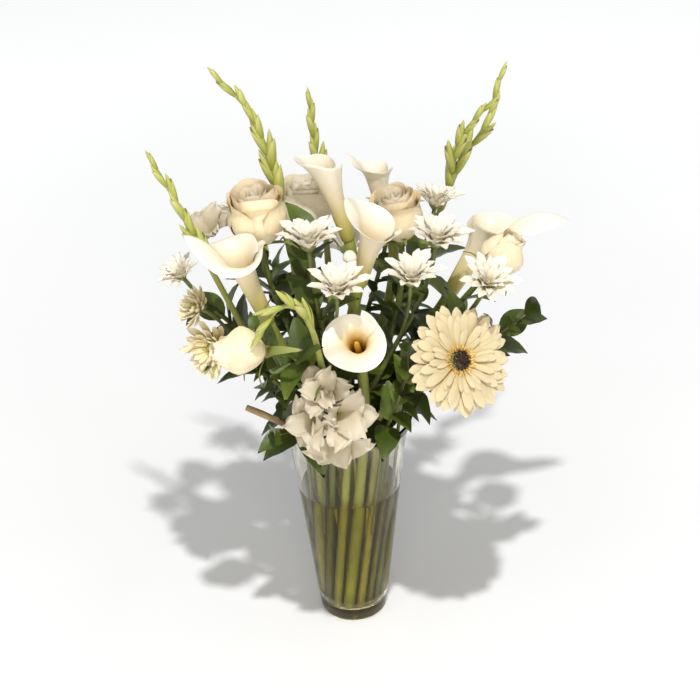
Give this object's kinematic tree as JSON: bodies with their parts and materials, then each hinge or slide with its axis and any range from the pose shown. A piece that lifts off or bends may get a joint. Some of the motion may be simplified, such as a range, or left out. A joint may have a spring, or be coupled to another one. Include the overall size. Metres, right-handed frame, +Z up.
{
  "type": "mixed lily bouquet in a glass vase",
  "caption": "Arranged bunch of calla lilies, roses, daisy chrysanthemums, a gerbera, gladiolus spikes and leaf sprigs standing in a tapered clear glass vase of water.",
  "frame": {"origin": "middle of the vase's flat underside, on the surface it stands on", "axes": "+Z up, out of the vase; -Y towards the front of the bunch, where the gerbera and the ruffled florets face; +X to the right seen from the front"},
  "size_m": [0.3782, 0.281, 0.5799],
  "materials": {
    "vase_glass": "clear pressed glass, smooth, thick foot",
    "water": "clear water tinted olive by the stems",
    "calla_spathe": "waxy ivory, green-yellow towards the neck",
    "calla_stem": "smooth thick green stem with a yellow spadix",
    "rose_petals": "velvety cream petals with a peach heart",
    "rose_stem": "green stem with sepals",
    "gerbera_petals": "cream ray petals round a dark brown eye with a yellow ring",
    "gerbera_stem": "soft green stem",
    "mum_petals": "white ray petals round a pale green-yellow eye",
    "mum_stem": "dull green branching stem",
    "gladiolus_spike": "pale green spike with closed buds",
    "gladiolus_petals": "ruffled white open florets",
    "leaf": "glossy dark green leaf, paler midrib"
  },
  "bodies": {
    "root": {"calla_left_spathe": "calla_spathe", "calla_tall_spathe": "calla_spathe", "calla_back_spathe": "calla_spathe", "calla_centre_spathe": "calla_spathe", "calla_right_spathe": "calla_spathe", "calla_front_spathe": "calla_spathe", "calla_left_stem": "calla_stem", "calla_tall_stem": "calla_stem", "calla_back_stem": "calla_stem", "calla_centre_stem": "calla_stem", "calla_right_stem": "calla_stem", "calla_front_stem": "calla_stem", "rose_left_bloom": "rose_petals", "rose_centre_bloom": "rose_petals", "rose_right_bloom": "rose_petals", "rose_front_bloom": "rose_petals", "rose_back_bloom": "rose_petals", "rose_left_stem": "rose_stem", "rose_centre_stem": "rose_stem", "rose_right_stem": "rose_stem", "rose_front_stem": "rose_stem", "rose_back_stem": "rose_stem", "gerbera_bloom": "gerbera_petals", "gerbera_stem": "gerbera_stem", "mum_middle_upper": "mum_petals", "mum_middle_lower": "mum_petals", "mum_right_upper": "mum_petals", "mum_right_middle": "mum_petals", "mum_far_right": "mum_petals", "mum_low_left": "mum_petals", "mum_low_left_upper": "mum_petals", "mum_far_left": "mum_petals", "mum_back_right": "mum_petals", "mum_back_upper": "mum_petals", "mum_back_lower": "mum_petals", "mum_back_left": "mum_petals", "mum_spray_middle": "mum_stem", "mum_spray_centre_right": "mum_stem", "mum_spray_right": "mum_stem", "mum_spray_low_left": "mum_stem", "mum_spray_far_left": "mum_stem", "mum_spray_back_right": "mum_stem", "mum_spray_back": "mum_stem", "mum_spray_back_left": "mum_stem", "gladiolus_left": "gladiolus_spike", "gladiolus_tall_left": "gladiolus_spike", "gladiolus_back": "gladiolus_spike", "gladiolus_right": "gladiolus_spike", "gladiolus_arching": "gladiolus_spike", "gladiolus_florets_front": "gladiolus_petals", "gladiolus_florets_left": "gladiolus_petals", "leaf_sprig_right": "leaf", "leaf_sprig_rim_left": "leaf", "leaf_sprig_front": "leaf", "leaf_sprig_left": "leaf", "leaf_sprig_upright": "leaf", "leaf_sprig_back_right": "leaf", "leaf_sprig_back_left": "leaf", "vase": "vase_glass", "water": "water"}
  },
  "joints": []
}
